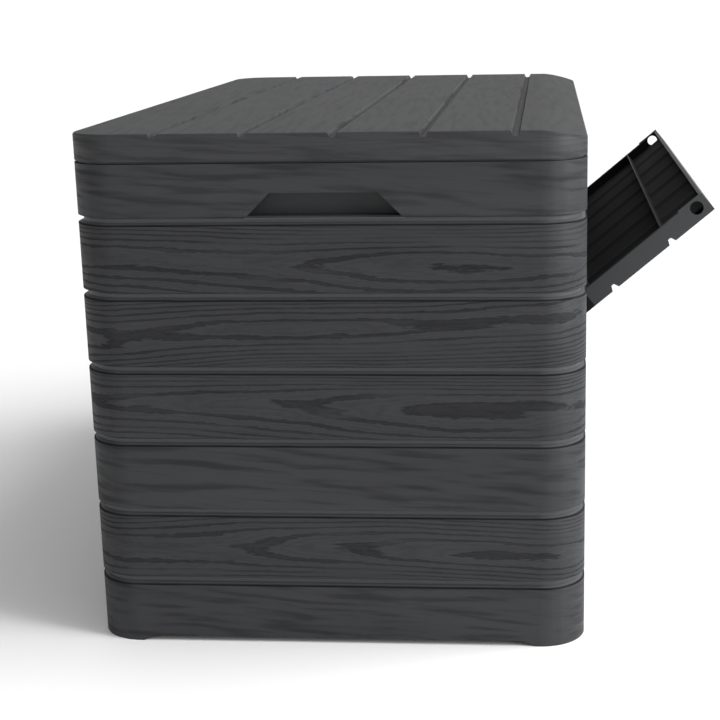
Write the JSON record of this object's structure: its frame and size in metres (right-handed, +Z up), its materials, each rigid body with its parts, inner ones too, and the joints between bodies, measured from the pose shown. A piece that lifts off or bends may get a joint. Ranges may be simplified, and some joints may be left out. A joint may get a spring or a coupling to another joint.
{
  "type": "deck storage box",
  "caption": "Boarded resin deck box with a hinged planked lid on gas struts and a front flap that folds down and is locked by slide bolts.",
  "frame": {"origin": "on the ground under the middle of the body, on the lower face of the centre foot", "axes": "+X out of the front wall with the flap, +Y along the front wall towards the far end, +Z up"},
  "size_m": [1.0546, 1.466, 0.856],
  "materials": {
    "board_resin": "embossed wood grain",
    "inner_resin": "plain moulded",
    "black_plastic": "satin moulded",
    "zinc_steel": "zinc plated",
    "rubber": "matt",
    "strut_paint": "satin black",
    "strut_chrome": "polished"
  },
  "bodies": {
    "box": {"base_panel": "inner_resin", "centre_foot": "inner_resin", "end_wall_near": "board_resin", "end_wall_far": "board_resin", "back_wall": "board_resin", "front_wall": "board_resin", "corner_keys": "inner_resin", "panel_screws": "zinc_steel", "lid_hinge_wall_leaves": "zinc_steel", "lid_hinge_pins": "zinc_steel", "lid_hinge_wall_screws": "zinc_steel", "strut_wall_bracket_near": "zinc_steel", "strut_wall_bracket_far": "zinc_steel", "flap_hinge_rail": "black_plastic", "flap_hinge_pins": "zinc_steel", "bolt_housing_near": "black_plastic", "bolt_housing_far": "black_plastic"},
    "lid": {"lid_shell": "board_resin", "lid_liner": "inner_resin", "lid_brace_bars": "zinc_steel", "lid_screws": "zinc_steel", "lid_bumpers": "rubber", "lid_hinge_lid_leaves": "zinc_steel", "lid_hinge_lid_screws": "zinc_steel", "strut_lid_bracket_near": "zinc_steel", "strut_lid_bracket_far": "zinc_steel"},
    "flap": {"front_flap": "board_resin", "flap_liner": "inner_resin", "flap_hinge_strip": "black_plastic"},
    "bolt_near": {"flap_bolt_near": "black_plastic"},
    "bolt_far": {"flap_bolt_far": "black_plastic"},
    "cylinder_near": {"strut_cylinder_near": "strut_paint"},
    "cylinder_far": {"strut_cylinder_far": "strut_paint"},
    "rod_near": {"strut_rod_near": "strut_chrome"},
    "rod_far": {"strut_rod_far": "strut_chrome"}
  },
  "joints": [
    {"name": "lid_hinge", "type": "hinge", "parent": "box", "child": "lid", "pos_m": [-0.421, 0, 0.8105], "axis": [0, -1, 0], "range_deg": [0, 80]},
    {"name": "flap_hinge", "type": "hinge", "parent": "box", "child": "flap", "pos_m": [0.414, 0, 0.5282], "axis": [0, -1, 0], "range_deg": [0, 50.1]},
    {"name": "flap_bolt_near_slide", "type": "slide", "parent": "box", "child": "bolt_near", "axis": [0, 1, 0], "range_m": [0, 0.016]},
    {"name": "flap_bolt_far_slide", "type": "slide", "parent": "box", "child": "bolt_far", "axis": [0, -1, 0], "range_m": [0, 0.016]},
    {"name": "strut_cylinder_near_pivot", "type": "hinge", "parent": "box", "child": "cylinder_near", "pos_m": [-0.33039, -0.69, 0.5775], "axis": [0, -1, 0], "range_deg": [0, 40]},
    {"name": "strut_rod_near_pivot", "type": "hinge", "parent": "lid", "child": "rod_near", "pos_m": [-0.17129, -0.69, 0.79851], "axis": [0, -1, 0], "range_deg": [-40, 0]},
    {"name": "strut_cylinder_far_pivot", "type": "hinge", "parent": "box", "child": "cylinder_far", "pos_m": [-0.33039, 0.69, 0.5775], "axis": [0, -1, 0], "range_deg": [0, 40]},
    {"name": "strut_rod_far_pivot", "type": "hinge", "parent": "lid", "child": "rod_far", "pos_m": [-0.17129, 0.69, 0.79851], "axis": [0, -1, 0], "range_deg": [-40, 0]}
  ],
  "couplings": [
    {"joint": "strut_cylinder_near_pivot", "follows": "lid_hinge", "ratio": 0.5},
    {"joint": "strut_rod_near_pivot", "follows": "lid_hinge", "ratio": -0.5},
    {"joint": "strut_cylinder_far_pivot", "follows": "lid_hinge", "ratio": 0.5},
    {"joint": "strut_rod_far_pivot", "follows": "lid_hinge", "ratio": -0.5}
  ]
}
